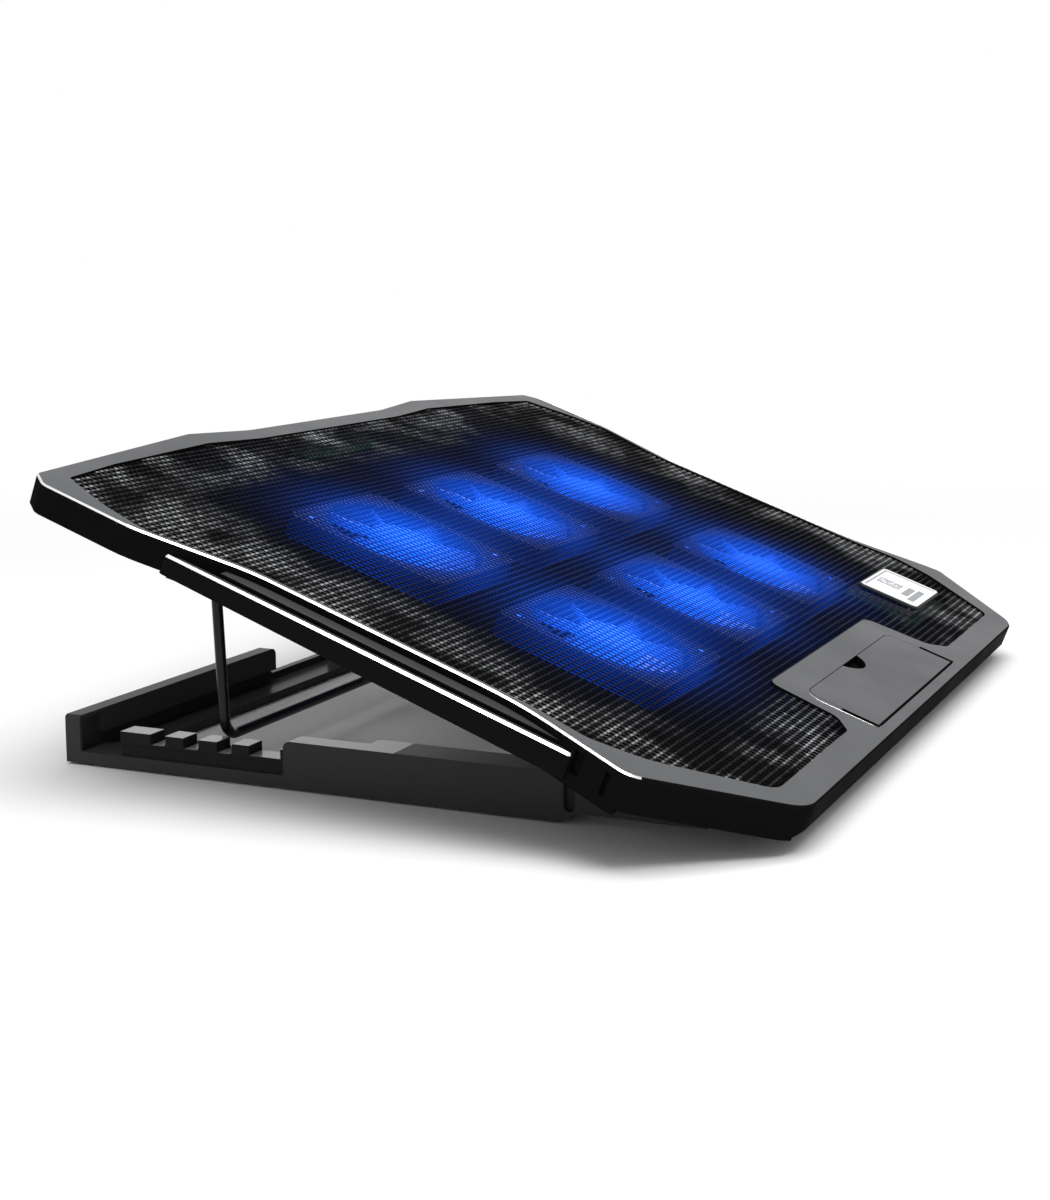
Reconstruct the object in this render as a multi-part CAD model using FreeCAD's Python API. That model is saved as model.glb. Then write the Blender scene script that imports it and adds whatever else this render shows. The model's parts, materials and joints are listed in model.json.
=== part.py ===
"""Laptop cooling pad: a vented deck with six fans on a folding stand.

Frame: +X to the right, +Y to the rear, +Z up, origin on the floor under the middle.
The deck is drawn lying flat, in (x, v, w): v runs back from the front edge and w = 0
is its top face.  It is then raised by TILT about the hinge at its front.
Lengths are millimetres and angles are degrees.
"""
import FreeCAD, Part
import math
import os

V = FreeCAD.Vector

# ---- fits and clearances
RUN_FIT = 0.05        # radial play of a turning pin
PIN_FIT = 0.03        # radial play of a pin in the part that holds it
GAP = 0.3             # air between parts that pass each other

# ---- stand: hinge line and angle of the raised deck
TILT = 20.1
HINGE_Y = -95.8
HINGE_Z = 10.4
HINGE_V = 42.1
HINGE_W = -21.8
PIN_R = 2.0
EAR_R = 5.0

# ---- deck outline (half widths and depths)
WAIST_W = 202.0       # between the shoulders
ELBOW_W = WAIST_W + 14.4    # corner of the front shoulders
HALF_W = WAIST_W + 12.0     # at the rear corners
FRONT_W = 173.5
FRONT_V = -0.6
ELBOW_V = 47.2
WAIST_V0 = 93.0
WAIST_V1 = 196.0
HIP_V = 238.0
REAR_V = 290.8
PEAK_V = REAR_V + 4.5
PEAK_W = 97.0

# ---- deck section
BEZEL_T = 2.2
BEZEL_BEVEL = 0.6
DECK_T = 12.6
WALL = 2.5
FLOOR_T = 2.0
REAR_RISE = 1.7       # the underside steps up behind the fans
REAR_STEP_V = 230.6
SIDE_STEP_V = 222.5   # and sooner beside them
STEP_X = 140.0
NOSE_BEVEL = 3.0
SIDE_RIM = 2.5        # bezel beside the mesh
MESH_T = 1.2
MESH_DROP = 0.8
MESH_HIP_IN = 3.4     # the mesh nears the edge at the rear corner's front end
MESH_CURVE_IN = 7.4
MESH_REAR_IN = 16.2
POD_SIZE = 30.0       # swelling under each shoulder
POD_DROP = 2.0
POD_R = 6.0
POD_BACK = 16.0       # its middle, behind the elbow
SLOT_BACK = 16.4      # wide slot in each shoulder, behind the elbow
SLOT_W = 3.8
SLOT_DEPTH = 1.9
SLOT_TOP = -2.5
SLOT_H = 8.0
NARROW_BACK = 5.6     # narrow slot in front of it
NARROW_W = 2.0
NARROW_DEPTH = 1.5
NARROW_DROP = 0.6     # both its ends are this much lower

# ---- side bars
BAR_W = WAIST_W + 9.0
BAR_TOP = -4.4
BAR_V0 = 67.5
BAR_V1 = 225.5
BAR_FOOT_0 = -13.2    # its underside, at the front end and at the rear end
BAR_FOOT_1 = -11.6
BAR_BEVEL = 0.85
BAR_FRONT_R = 2.0
BAR_REAR_R = 2.0
BAR_STEP_TOP = -3.0   # raised inner step of its top, up to the rear recess
BAR_RECESS_V = 204.0
BAR_RECESS_Z = -9.0
BAR_RIM = 2.6         # outer rim along the step and the recess
BAR_GROOVE = 0.5      # wide and deep, between rim and step
BAR_LAP = 6.0         # inwards, before the housing's outline is taken off

# ---- flap and its pocket
FLAP_HALF = 62.0
FLAP_V0 = 4.7
FLAP_V1 = 34.6
FLAP_T = 2.6
FLAP_R = 5.0
FLAP_PIN_R = 0.8
FLAP_PIN_L = 5.4
NOTCH_W = 22.0
NOTCH_D = 6.5
SLIT_W = 3.0
SLIT_V1 = 20.0
POCKET_DEPTH = 3.2
POCKET_BLOCK_T = 5.0
BLOCK_HALF = 70.5
BLOCK_V = 47.3

# ---- fans
FAN_X = 91.9
FAN_V0 = 103.6
FAN_V1 = 194.6
FAN_SIZE = 67.5
DUCT_R = 31.0
HUB_R = 13.0
HUB_WALL = 1.2
SHAFT_R = 1.5
STRUT_T = 1.6
STRUT_W = 3.0
BLADES = 7
BLADE_T = 1.1
BLADE_CHORD = 7.8
BLADE_PITCH = 40.0
TIP_GAP = 1.2
LED_R = 1.5
LED_H = 4.0
GUARD_RINGS = ((9.0, 13.0), (15.5, 19.5), (22.0, 26.0))
GUARD_RIB = 3.0

# ---- display
LCD_X = 147.5
LCD_V = 50.6
LCD_W = 46.0
LCD_D = 28.0
LCD_R = 2.5
LCD_PROUD = 0.5
GLASS_W = 40.0
GLASS_D = 25.0
GLASS_DROP = 0.2
CELL_W = 44.0
CELL_D = 26.0
CELL_T = 3.0
BOARD_W = 58.0
BOARD_D = 36.0
BOARD_T = 1.6

# ---- sockets and speed dial in the rear edge
USB_X = 22.0
USB_W = 13.1
USB_H = 5.8
USB_L = 13.0
USB_SHELL = 0.35
USB_DEPTH = 9.0
TONGUE_W = 11.1
TONGUE_T = 1.9
REAR_BOARD_W = 64.0
REAR_BOARD_D = 16.0
REAR_BOARD_T = 0.8
DIAL_R = 7.5
DIAL_T = 3.0
DIAL_PROUD = 1.3
DIAL_RIBS = 24

# ---- screws
SCREW_R = 1.2
HEAD_R = 2.4
HEAD_H = 1.2
SCREW_GRIP = 5.0
BOSS_R = 2.6
SCREW_EDGE = 5.8      # from the front edge, and from the block's rear edge
SCREW_FRONT_X = 120.0
SCREW_BLOCK_X = 66.0
SCREW_ELBOW_IN = 11.2
SCREW_ELBOW_BACK = 6.8
SCREW_HIP_IN = 6.5
SCREW_HIP_BACK = 30.0
SCREW_REAR_IN = 35.0
SCREW_REAR_EDGE = 10.4
SCREW_MID_X = 42.0
SCREW_MID_EDGE = 5.4
CASE_SCREWS = ((SCREW_FRONT_X, FRONT_V + SCREW_EDGE), (SCREW_BLOCK_X, BLOCK_V - SCREW_EDGE),
               (ELBOW_W - SCREW_ELBOW_IN, ELBOW_V + SCREW_ELBOW_BACK),
               (HALF_W - SCREW_HIP_IN, HIP_V + SCREW_HIP_BACK),
               (HALF_W - SCREW_REAR_IN, REAR_V - SCREW_REAR_EDGE),
               (SCREW_MID_X, REAR_V - SCREW_MID_EDGE))

# ---- base
BASE_HALF = 170.0
RAIL_W = 16.0
RAIL_TOP = 17.8
EAR_TOP = 15.4
RAIL_Y0 = -56.8
RAIL_Y1 = 50.2
TONGUE_Y = -109.8
TONGUE_Z = 4.3
CROSS_D = 7.8
CROSS_TOP = 9.5
PAD_T = 0.6
FRONT_PAD_T = 0.5     # thin pads under the tongues, clear of the floor
FRONT_PAD_L = 8.6
RAIL_PAD_L = 24.0
REAR_PAD_L = 12.0
RAIL_SLOT_W = 4.2     # upright slot in each rail, behind the tongue
RAIL_SLOT_Z = 4.5
RAIL_SLOT_DEPTH = 3.0
RACK_W = 9.2
RACK_TOP = 14.6
RACK_FLOOR = 10.8
RACK_PITCH = 14.2
RACK_LAST_Y = 102.9   # rearmost notch
NOTCH_Y = 6.4
NOTCHES = 3
LEDGE_Y0 = 51.2
LEDGE_Y1 = 64.2
RACK_END_Y = 119.2
BAND_Z0 = 5.2
BAND_Z1 = 10.0
BAND_DEPTH = 0.8
LINK_TOP = 5.1
WALL_Y0 = 137.2
WALL_Y1 = 143.8
WALL_TOP = 18.7
WALL_DIP = 6.85
DIP_HALF = 28.5
LIP_Z = 9.2
LIP_T = 3.4
LIP_HALF = BASE_HALF - 15.0    # the lip ends here, and taller recesses go on to the ends
LIP_END_WALL = 1.5
FLANGE_Y = 126.2
FLANGE_T = 3.7

# ---- wire prop
WIRE_R = 2.0
PROP_X = 158.5
PROP_V = 236.0
PROP_W = -15.4
FOOT_Y = 81.0
FOOT_Z = 13.8
FOOT_BEND = 7.0
TOP_BEND = 4.0
PROP_PIN_L = 7.0      # straight pin past the top bend
BRACKET_R = 4.2


# ================================================================ helpers
def box(x0, x1, y0, y1, z0, z1):
    return Part.makeBox(x1 - x0, y1 - y0, z1 - z0, V(x0, y0, z0))


def rod(x, y, z0, z1, r):
    return Part.makeCylinder(r, z1 - z0, V(x, y, z0))


def rod_x(x0, x1, y, z, r):
    return Part.makeCylinder(r, x1 - x0, V(x0, y, z), V(1, 0, 0))


def rounded(points):
    """Closed wire in XY: straight sides, and at each (x, y, r) corner a tangent arc.

    The arc leaves its sides at t = r tan(turn / 2) from the corner; t is limited to
    just under half of the shorter side.
    """
    edges, ends = [], []
    n = len(points)
    for i in range(n):
        here = V(points[i][0], points[i][1], 0)
        back = V(points[i - 1][0], points[i - 1][1], 0) - here
        ahead = V(points[(i + 1) % n][0], points[(i + 1) % n][1], 0) - here
        turn = math.pi - back.getAngle(ahead)
        t = min(points[i][2] * math.tan(turn / 2), 0.49 * back.Length, 0.49 * ahead.Length)
        if t < 0.01:
            ends.append((here, here))
            continue
        r = t / math.tan(turn / 2)
        a = here + V(back).normalize() * t
        b = here + V(ahead).normalize() * t
        middle = here + (V(back).normalize() + V(ahead).normalize()).normalize() * (
            r / math.cos(turn / 2) - r)
        edges.append((i, Part.Arc(a, middle, b).toShape()))
        ends.append((a, b))
    arcs = dict(edges)
    path = []
    for i in range(n):
        if i in arcs:
            path.append(arcs[i])
        path.append(Part.makeLine(ends[i][1], ends[(i + 1) % n][0]))
    return Part.Wire(path)


def plate(points, z0, z1):
    face = Part.Face(rounded(points))
    face.translate(V(0, 0, z0))
    return face.extrude(V(0, 0, z1 - z0))


def side_plate(points, x0, x1):
    """Prism along X whose outline is given as (y, z, r)."""
    solid = plate(points, x0, x1)
    solid.rotate(V(0, 0, 0), V(1, 1, 1), 120)
    return solid


def mirrored(half):
    """Whole outline from its right half, front to rear."""
    return list(half) + [(-x, y, r) for x, y, r in reversed(half)]


def rect(cx, cy, w, d, r):
    x, y = w / 2, d / 2
    return [(cx - x, cy - y, r), (cx + x, cy - y, r), (cx + x, cy + y, r), (cx - x, cy + y, r)]


def raised(shape):
    """Deck frame (x, v, w) to the stand's frame, turned up about the hinge."""
    shape = shape.copy()
    shape.translate(V(0, HINGE_Y - HINGE_V, HINGE_Z - HINGE_W))
    shape.rotate(V(0, HINGE_Y, HINGE_Z), V(1, 0, 0), TILT)
    return shape


def flipped(shape):
    return shape.mirror(V(0, 0, 0), V(1, 0, 0))


def both(shape):
    return [shape, flipped(shape)]


def save(name, shape):
    solids = shape if isinstance(shape, list) else shape.Solids
    for solid in solids:
        if not solid.isValid():
            print("not valid:", name)
    shape = Part.makeCompound(solids) if len(solids) > 1 else solids[0]
    shape.exportStep("parts/" + name + ".step")
    print(name, len(solids), round(shape.Volume))


# ================================================================ deck outlines
def deck_outline():
    return mirrored([
        (FRONT_W, FRONT_V, 18), (ELBOW_W, ELBOW_V, 8), (WAIST_W, WAIST_V0, 90),
        (WAIST_W, WAIST_V1, 60), (HALF_W, HIP_V, 40), (HALF_W, REAR_V - 15, 6),
        (HALF_W - 7, REAR_V - 7, 4), (PEAK_W, PEAK_V, 8), (58, REAR_V + 0.2, 60)])


def mesh_outline():
    rim = WAIST_W - SIDE_RIM
    return mirrored([
        (BLOCK_HALF, BLOCK_V, 5), (BLOCK_HALF + 3.5, FRONT_V + 19.4, 8),
        (BLOCK_HALF + 13.5, FRONT_V + 12.4, 6), (FRONT_W - 3.3, FRONT_V + 12.4, 10),
        (rim - 2, ELBOW_V + 0.8, 30), (rim + 3.6, ELBOW_V + 20, 12), (rim, WAIST_V0 - 4, 30),
        (rim, WAIST_V1 + 1, 60), (HALF_W - MESH_HIP_IN, HIP_V - 3, 14),
        (HALF_W - MESH_CURVE_IN, HIP_V + 17, 60), (HALF_W - MESH_REAR_IN, REAR_V - 14.2, 3),
        (FRONT_W - 8, REAR_V - 10, 30), (PEAK_W, REAR_V - 5.6, 6), (60, REAR_V - 8.5, 60)])


def deck_floor(v):
    """Height of the tray's inner floor: it steps up behind the fans."""
    rise = REAR_RISE if v > REAR_STEP_V - FLOOR_T else 0
    return -DECK_T + FLOOR_T + rise


def raised_rear(lap, z0, z1):
    """Slab over the stepped-up part of the floor, grown forwards and inwards by lap."""
    inner, outer = STEP_X - lap, HALF_W + 5
    return plate(mirrored([(inner, REAR_STEP_V - lap, 0), (inner, SIDE_STEP_V - lap, 0),
                           (outer, SIDE_STEP_V - lap, 0), (outer, PEAK_V + 5, 0)]), z0, z1)


def screw_spots():
    return [(s * x, v) for x, v in CASE_SCREWS for s in (-1, 1)]


def fan_spots():
    return [(c * FAN_X, v) for v in (FAN_V0, FAN_V1) for c in (-1, 0, 1)]


def corner_spots(diagonal):
    """Two opposite corners of each fan frame: 1 for screws, -1 for lamps."""
    reach = 0.4 * FAN_SIZE
    return [(x + s * reach, v + s * diagonal * reach) for x, v in fan_spots() for s in (-1, 1)]


# ================================================================ deck shell
def bezel():
    outline = Part.Face(rounded(deck_outline()))
    outline.translate(V(0, 0, -BEZEL_T))
    body = outline.extrude(V(0, 0, BEZEL_T))
    rim = [e for e in body.Edges if e.BoundBox.ZMin > -0.01]
    body = body.makeChamfer(BEZEL_BEVEL, rim)
    body = body.cut(plate(mesh_outline(), -BEZEL_T - 1, 1))
    block = plate(rect(0, (WALL + BLOCK_V) / 2, 2 * BLOCK_HALF - 1, BLOCK_V - WALL - 1, 3),
                  -POCKET_BLOCK_T, -BEZEL_T)
    body = body.fuse(block)
    for x, v in screw_spots():
        top = -POCKET_BLOCK_T if abs(x) < BLOCK_HALF and v < BLOCK_V else -BEZEL_T
        body = body.fuse(rod(x, v, deck_floor(v), top, BOSS_R))
    for x, v in screw_spots():
        body = body.cut(rod(x, v, deck_floor(v), deck_floor(v) + SCREW_GRIP, SCREW_R))
    pocket = plate(mirrored([(FLAP_HALF + GAP, FLAP_V0 - GAP, 1),
                             (FLAP_HALF + GAP, FLAP_V1 + GAP, FLAP_R + GAP)]),
                   -POCKET_DEPTH, 1)
    slits = box(-FLAP_HALF - SLIT_W, FLAP_HALF + SLIT_W, FLAP_V0, SLIT_V1, -POCKET_DEPTH, 1)
    reach = FLAP_HALF + FLAP_PIN_L + GAP
    bore = rod_x(-reach, reach, FLAP_V0 + FLAP_T / 2, -FLAP_T / 2, FLAP_PIN_R + RUN_FIT)
    return body.cut(pocket).cut(slits).cut(bore).removeSplitter()


def fan_guard(x, v):
    """Ring slots under one fan, crossed by straight ribs."""
    low, high = -DECK_T - 1, -DECK_T + FLOOR_T + 1
    cuts = [rod(x, v, low, high, b).cut(rod(x, v, low, high, a)) for a, b in GUARD_RINGS]
    slots = cuts[0].fuse(cuts[1:])
    reach = DUCT_R
    half = GUARD_RIB / 2
    ribs = box(x - reach, x + reach, v - half, v + half, low, high)
    ribs = ribs.fuse(box(x - half, x + half, v - reach, v + reach, low, high))
    return slots.cut(ribs)


def lug():
    """Hinge lug under the right-hand side of the deck, bored for the pin."""
    x1 = BASE_HALF - RAIL_W - GAP
    x0 = x1 - 10.7
    body = box(x0, x1, HINGE_V - EAR_R, HINGE_V + EAR_R, HINGE_W, -DECK_T)
    body = body.fuse(rod_x(x0, x1, HINGE_V, HINGE_W, EAR_R))
    return body.cut(rod_x(x0 - 1, x1 + 1, HINGE_V, HINGE_W, PIN_R + RUN_FIT))


def bracket():
    """Bearing block for the right-hand end of the wire prop."""
    top = -DECK_T + REAR_RISE
    x1 = PROP_X - TOP_BEND - GAP
    x0 = x1 + GAP - PROP_PIN_L + 1
    body = box(x0, x1, PROP_V - BRACKET_R, PROP_V + BRACKET_R, PROP_W, top)
    body = body.fuse(rod_x(x0, x1, PROP_V, PROP_W, BRACKET_R))
    return body.cut(rod_x(x0 - 1, x1 + 1, PROP_V, PROP_W, WIRE_R + RUN_FIT))


def shoulder_slot(back, width, depth, drop):
    """Upright slot in the slanting face behind the right-hand elbow."""
    slope = (WAIST_W - ELBOW_W) / (WAIST_V0 - ELBOW_V)
    x0, x1 = ELBOW_W + slope * back, ELBOW_W + slope * (back + width)
    v0, v1 = ELBOW_V + back, ELBOW_V + back + width
    points = [(x0 - depth, v0, 0), (x0 + 4, v0, 0), (x1 + 4, v1, 0), (x1 - depth, v1, 0)]
    return plate(points, SLOT_TOP - SLOT_H - drop, SLOT_TOP - drop)


def lower_housing():
    outer = Part.Face(rounded(deck_outline()))
    outer.translate(V(0, 0, -DECK_T))
    body = outer.extrude(V(0, 0, DECK_T - BEZEL_T))
    inner = outer.makeOffset2D(-WALL)
    inner.translate(V(0, 0, FLOOR_T))
    cavity = inner.extrude(V(0, 0, DECK_T))
    cavity = cavity.cut(raised_rear(FLOOR_T, -DECK_T, deck_floor(PEAK_V)))
    body = body.cut(cavity)
    body = body.cut(raised_rear(0, -DECK_T - 1, -DECK_T + REAR_RISE))
    nose = side_plate([(FRONT_V - 1, -DECK_T - 1, 0), (FRONT_V + NOSE_BEVEL + 1, -DECK_T - 1, 0),
                       (FRONT_V - 1, -DECK_T + NOSE_BEVEL + 1, 0)], -FRONT_W, FRONT_W)
    body = body.cut(nose)
    pod = plate(rect(HALF_W - 8, ELBOW_V + POD_BACK, POD_SIZE, POD_SIZE, POD_R),
                -DECK_T - POD_DROP, -DECK_T)
    shoulder = Part.Face(rounded(deck_outline())).extrude(V(0, 0, -DECK_T - POD_DROP))
    pod = pod.common(shoulder)
    body = body.fuse(both(pod) + both(lug()) + both(bracket()))
    cuts = both(shoulder_slot(SLOT_BACK, SLOT_W, SLOT_DEPTH, 0))
    cuts += both(shoulder_slot(NARROW_BACK, NARROW_W, NARROW_DEPTH, NARROW_DROP))
    for x, v in fan_spots():
        cuts.append(fan_guard(x, v))
    for x, v in screw_spots():
        cuts.append(screw(x, v, SCREW_R))
    for x, v in corner_spots(1):
        cuts.append(screw(x, v, SCREW_R))
    cuts += rear_holes()
    return body.cut(cuts).removeSplitter()


def rear_holes():
    """Openings in the rear wall for the two sockets and the dial."""
    z0 = deck_floor(REAR_V) + REAR_BOARD_T
    y0 = REAR_V - WALL - 1
    half = USB_W / 2 + PIN_FIT
    holes = [box(x - half, x + half, y0, REAR_V + 3, z0 - PIN_FIT, z0 + USB_H + PIN_FIT)
             for x in (-USB_X, USB_X)]
    low = dial_base() - GAP
    holes.append(box(-DIAL_R - 1, DIAL_R + 1, y0, REAR_V + 3, low, low + DIAL_T + 2 * GAP))
    return holes


def screw(x, v, r):
    """Countersunk case screw, driven up through the floor."""
    under = deck_floor(v) - FLOOR_T
    body = rod(x, v, under, under + HEAD_H, HEAD_R)
    return body.fuse(rod(x, v, under + HEAD_H, deck_floor(v) + SCREW_GRIP, r))


def driven(spots):
    """Screws with a cross recess in each head."""
    out = []
    for x, v in spots:
        under = deck_floor(v) - FLOOR_T
        body = screw(x, v, SCREW_R)
        a, b = HEAD_R * 0.7, HEAD_R * 0.15
        cross = box(x - a, x + a, v - b, v + b, under, under + HEAD_H / 2)
        cross = cross.fuse(box(x - b, x + b, v - a, v + a, under, under + HEAD_H / 2))
        out.append(raised(body.cut(cross).Solids[0]))
    return out


def side_bar():
    """Armrest-like bar that fills the right-hand waist, its outer top edge bevelled.

    Its underside slopes, and its top has a rim, a groove and a raised inner step that ends
    at a recess.
    """
    inner = WAIST_W - BAR_LAP
    points = [(inner, BAR_V0, 0), (BAR_W, BAR_V0, BAR_FRONT_R), (BAR_W, BAR_V1, BAR_REAR_R),
              (inner, BAR_V1, 0)]
    low = min(BAR_FOOT_0, BAR_FOOT_1)
    body = plate(points, low, BAR_TOP)
    edges = [e for e in body.Edges if e.BoundBox.ZMin > BAR_TOP - 0.01
             and e.BoundBox.XMax > WAIST_W]
    body = body.makeChamfer(BAR_BEVEL, edges)
    slope = side_plate([(BAR_V0, BAR_FOOT_0, 0), (BAR_V1, BAR_FOOT_1, 0),
                        (BAR_V1 + 1, low - 1, 0), (BAR_V0, low - 1, 0)], inner - 1, BAR_W + 1)
    rim = BAR_W - BAR_RIM
    groove = box(rim - BAR_GROOVE, rim, BAR_V0 + BAR_RIM, BAR_RECESS_V,
                 BAR_TOP - BAR_GROOVE, BAR_TOP + 1)
    recess = box(inner - 1, rim, BAR_RECESS_V, BAR_V1 + 1, BAR_RECESS_Z, BAR_TOP + 1)
    step = box(inner, rim - BAR_GROOVE, BAR_V0 + BAR_RIM, BAR_RECESS_V, BAR_TOP - 1, BAR_STEP_TOP)
    body = body.fuse(step).cut([slope, groove, recess])
    shell = Part.Face(rounded(deck_outline()))
    shell.translate(V(0, 0, low - 2))
    body = body.cut(shell.extrude(V(0, 0, -low + 3)))
    return max(body.removeSplitter().Solids, key=lambda s: s.Volume)


def mesh_panel():
    top = -MESH_DROP
    body = plate(mesh_outline(), top - MESH_T, top)
    return body.cut(plate(rect(LCD_X, LCD_V, LCD_W, LCD_D, LCD_R), top - 2 * MESH_T, 1))


# ================================================================ flap
def flap():
    r = FLAP_T / 2
    points = [(FLAP_HALF, FLAP_V0 + r, 0), (FLAP_HALF, FLAP_V1, FLAP_R)]
    body = plate(mirrored(points), -FLAP_T, 0)
    body = body.fuse(rod_x(-FLAP_HALF, FLAP_HALF, FLAP_V0 + r, -r, r))
    notch_r = (NOTCH_W ** 2 / 4 + NOTCH_D ** 2) / (2 * NOTCH_D)
    body = body.cut(rod(0, FLAP_V1 - NOTCH_D + notch_r, -FLAP_T - 1, 1, notch_r))
    reach = FLAP_HALF + FLAP_PIN_L
    pin = rod_x(-reach, reach, FLAP_V0 + r, -r, FLAP_PIN_R)
    return body.fuse(pin).removeSplitter()


# ================================================================ fans
def fan_base():
    return -DECK_T + FLOOR_T


def fan_top():
    return -MESH_DROP - MESH_T


def fan_frame(x, v):
    z0, z1 = fan_base(), fan_top()
    body = plate(rect(x, v, FAN_SIZE, FAN_SIZE, 4), z0, z1)
    body = body.cut(rod(x, v, z0 - 1, z1 + 1, DUCT_R))
    seat = rod(x, v, z0, z0 + STRUT_T, HUB_R - 3)
    arms = []
    for k in range(4):
        arm = box(x + HUB_R - 5, x + DUCT_R + 1, v - STRUT_W / 2, v + STRUT_W / 2,
                  z0, z0 + STRUT_T)
        arm.rotate(V(x, v, 0), V(0, 0, 1), 45 + 90 * k)
        arms.append(arm)
    tube = rod(x, v, z0, z1 - 4, SHAFT_R + 2.5)
    body = body.fuse([seat, tube] + arms)
    body = body.cut(rod(x, v, z0 + 0.8, z1, SHAFT_R + RUN_FIT))
    for cx, cv in corner_spots(1):
        body = body.cut(rod(cx, cv, z0, z0 + SCREW_GRIP, SCREW_R))
    for cx, cv in corner_spots(-1):
        body = body.cut(rod(cx, cv, z1 - LED_H, z1, LED_R))
    return body.removeSplitter()


def rotor(x, v):
    """Cup-shaped hub with pitched blades and a shaft down the bearing tube."""
    z0 = fan_base() + STRUT_T + 0.4
    z1 = fan_top() - 0.6
    body = rod(x, v, z0, z1, HUB_R).cut(rod(x, v, z0 - 1, z1 - HUB_WALL, HUB_R - HUB_WALL))
    body = body.fuse(rod(x, v, fan_base() + 1.2, z1 - HUB_WALL / 2, SHAFT_R))
    length = DUCT_R - TIP_GAP - HUB_R + HUB_WALL / 2
    for k in range(BLADES):
        blade = Part.makeBox(length, BLADE_CHORD, BLADE_T,
                             V(HUB_R - HUB_WALL / 2, -BLADE_CHORD / 2, -BLADE_T / 2))
        blade.rotate(V(0, 0, 0), V(1, 0, 0), BLADE_PITCH)
        blade.rotate(V(0, 0, 0), V(0, 0, 1), 360 / BLADES * k)
        blade.translate(V(x, v, (z0 + z1) / 2))
        body = body.fuse(blade)
    return body


def leds():
    top = fan_top()
    return [raised(rod(x, v, top - LED_H, top, LED_R)) for x, v in corner_spots(-1)]


# ================================================================ display
def display_frame():
    body = plate(rect(LCD_X, LCD_V, LCD_W, LCD_D, LCD_R), fan_top(), LCD_PROUD)
    return body.cut(plate(rect(LCD_X, LCD_V, GLASS_W, GLASS_D, 1), fan_top() - 1, 2))


def display_glass():
    return plate(rect(LCD_X, LCD_V, GLASS_W, GLASS_D, 1), fan_top(), LCD_PROUD - GLASS_DROP)


def display_cell():
    return plate(rect(LCD_X, LCD_V, CELL_W, CELL_D, 0), fan_top() - CELL_T, fan_top())


def control_board():
    top = fan_top() - CELL_T
    body = plate(rect(LCD_X, LCD_V, BOARD_W, BOARD_D, 2), top - BOARD_T, top)
    for sx in (-1, 1):
        for sy in (-1, 1):
            x = LCD_X + sx * (BOARD_W / 2 - 5)
            v = LCD_V + sy * (BOARD_D / 2 - 5)
            body = body.fuse(rod(x, v, fan_base(), top - BOARD_T, 2.5))
    return body


# ================================================================ sockets and dial
def dial_base():
    return deck_floor(REAR_V) + REAR_BOARD_T + 1.7


def dial_v():
    return REAR_V + DIAL_PROUD - DIAL_R


def usb_socket(x):
    z0 = deck_floor(REAR_V) + REAR_BOARD_T
    z1 = z0 + USB_H
    mouth = REAR_V - 0.2
    half = USB_W / 2
    body = box(x - half, x + half, mouth - USB_L, mouth, z0, z1)
    inner = half - USB_SHELL
    body = body.cut(box(x - inner, x + inner, mouth - USB_DEPTH, mouth + 1,
                        z0 + USB_SHELL, z1 - USB_SHELL))
    top = z1 - USB_SHELL - 0.5
    tongue = box(x - TONGUE_W / 2, x + TONGUE_W / 2, mouth - USB_DEPTH - 1, mouth - 0.8,
                 top - TONGUE_T, top)
    return body.fuse(tongue)


def rear_board():
    """Small board on the raised rear floor, with the dial's post and collar."""
    z0 = deck_floor(REAR_V)
    back = REAR_V - WALL - GAP
    body = box(-REAR_BOARD_W / 2, REAR_BOARD_W / 2, back - REAR_BOARD_D, back,
               z0, z0 + REAR_BOARD_T)
    collar = rod(0, dial_v(), z0, dial_base() - GAP, SHAFT_R + 1.5)
    post = rod(0, dial_v(), z0, dial_base() + DIAL_T, SHAFT_R)
    return body.fuse([collar, post])


def dial():
    z0 = dial_base()
    body = rod(0, dial_v(), z0, z0 + DIAL_T, DIAL_R)
    body = body.cut(rod(0, dial_v(), z0 - 1, z0 + DIAL_T + 1, SHAFT_R + RUN_FIT))
    for k in range(DIAL_RIBS):
        a = 2 * math.pi * k / DIAL_RIBS
        body = body.cut(rod(DIAL_R * math.cos(a), dial_v() + DIAL_R * math.sin(a),
                            z0 - 1, z0 + DIAL_T + 1, 0.45))
    return body


# ================================================================ base
def rail():
    """Right-hand side of the base: front tongue with the hinge ear, then the rail."""
    x0, x1 = BASE_HALF - RAIL_W, BASE_HALF
    points = [(TONGUE_Y + 1.5, TONGUE_Z, 0.5), (TONGUE_Y, TONGUE_Z + 1.5, 0.5),
              (TONGUE_Y, TONGUE_Z + 8, 2), (TONGUE_Y + 7, EAR_TOP, 3),
              (RAIL_Y0 - 4, EAR_TOP, 2), (RAIL_Y0, RAIL_TOP, 1), (RAIL_Y1, RAIL_TOP, 3),
              (RAIL_Y1, PAD_T, 0), (RAIL_Y0 + 0.8, PAD_T, 4), (RAIL_Y0 - 6.2, TONGUE_Z, 3)]
    body = side_plate(points, x0, x1)
    y0, y1, top = RAIL_Y0 - 1 - RAIL_SLOT_W, RAIL_Y0 - 1, EAR_TOP - 1
    slot = side_plate([(y0, RAIL_SLOT_Z, RAIL_SLOT_W / 2), (y1, RAIL_SLOT_Z, RAIL_SLOT_W / 2),
                       (y1, top, 1), (y0, top, 1)], x1 - RAIL_SLOT_DEPTH, x1 + 1)
    relief = box(x0 - 1, BASE_HALF - RACK_W, FOOT_FOLDED_Y - 9, RAIL_Y1 + 1, -1, RAIL_TOP + 1)
    bore = rod_x(x0 - 1, x1 - 3, HINGE_Y, HINGE_Z, PIN_R + PIN_FIT)
    return body.cut([slot, relief, bore])


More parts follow.
